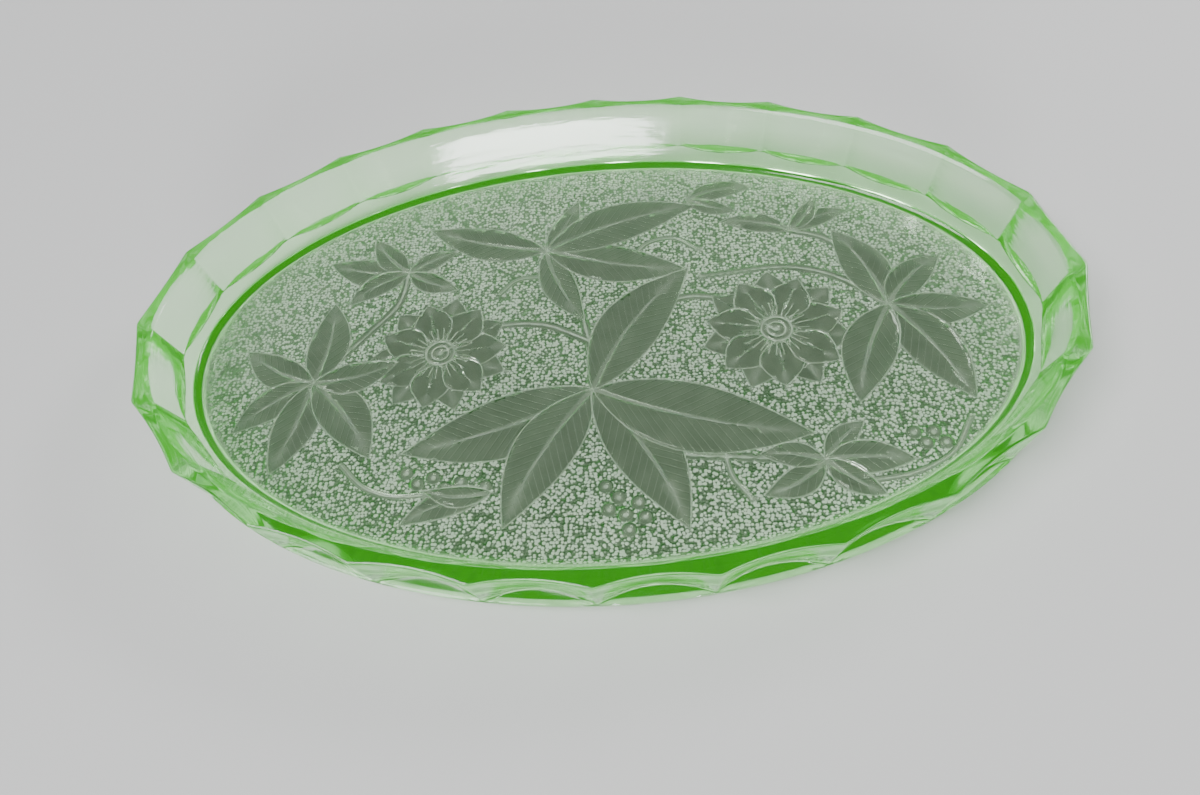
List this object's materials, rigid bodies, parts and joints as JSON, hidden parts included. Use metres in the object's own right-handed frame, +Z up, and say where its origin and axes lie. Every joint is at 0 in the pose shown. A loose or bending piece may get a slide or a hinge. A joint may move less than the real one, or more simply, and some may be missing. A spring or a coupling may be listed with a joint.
{
  "type": "pressed glass dish",
  "caption": "Shallow oval dish of clear green pressed glass: a flat pebbled floor with botanical relief under it, a leaning fluted wall and a pointed scalloped rim.",
  "frame": {"origin": "middle of the foot ring, on the surface that the dish stands on", "axes": "+X along the long axis of the oval, +Y along the short axis, +Z up out of the well"},
  "size_m": [0.31, 0.2014, 0.0265],
  "materials": {
    "green_glass": "polished, clear"
  },
  "bodies": {
    "root": {"dish": "green_glass"}
  },
  "joints": []
}
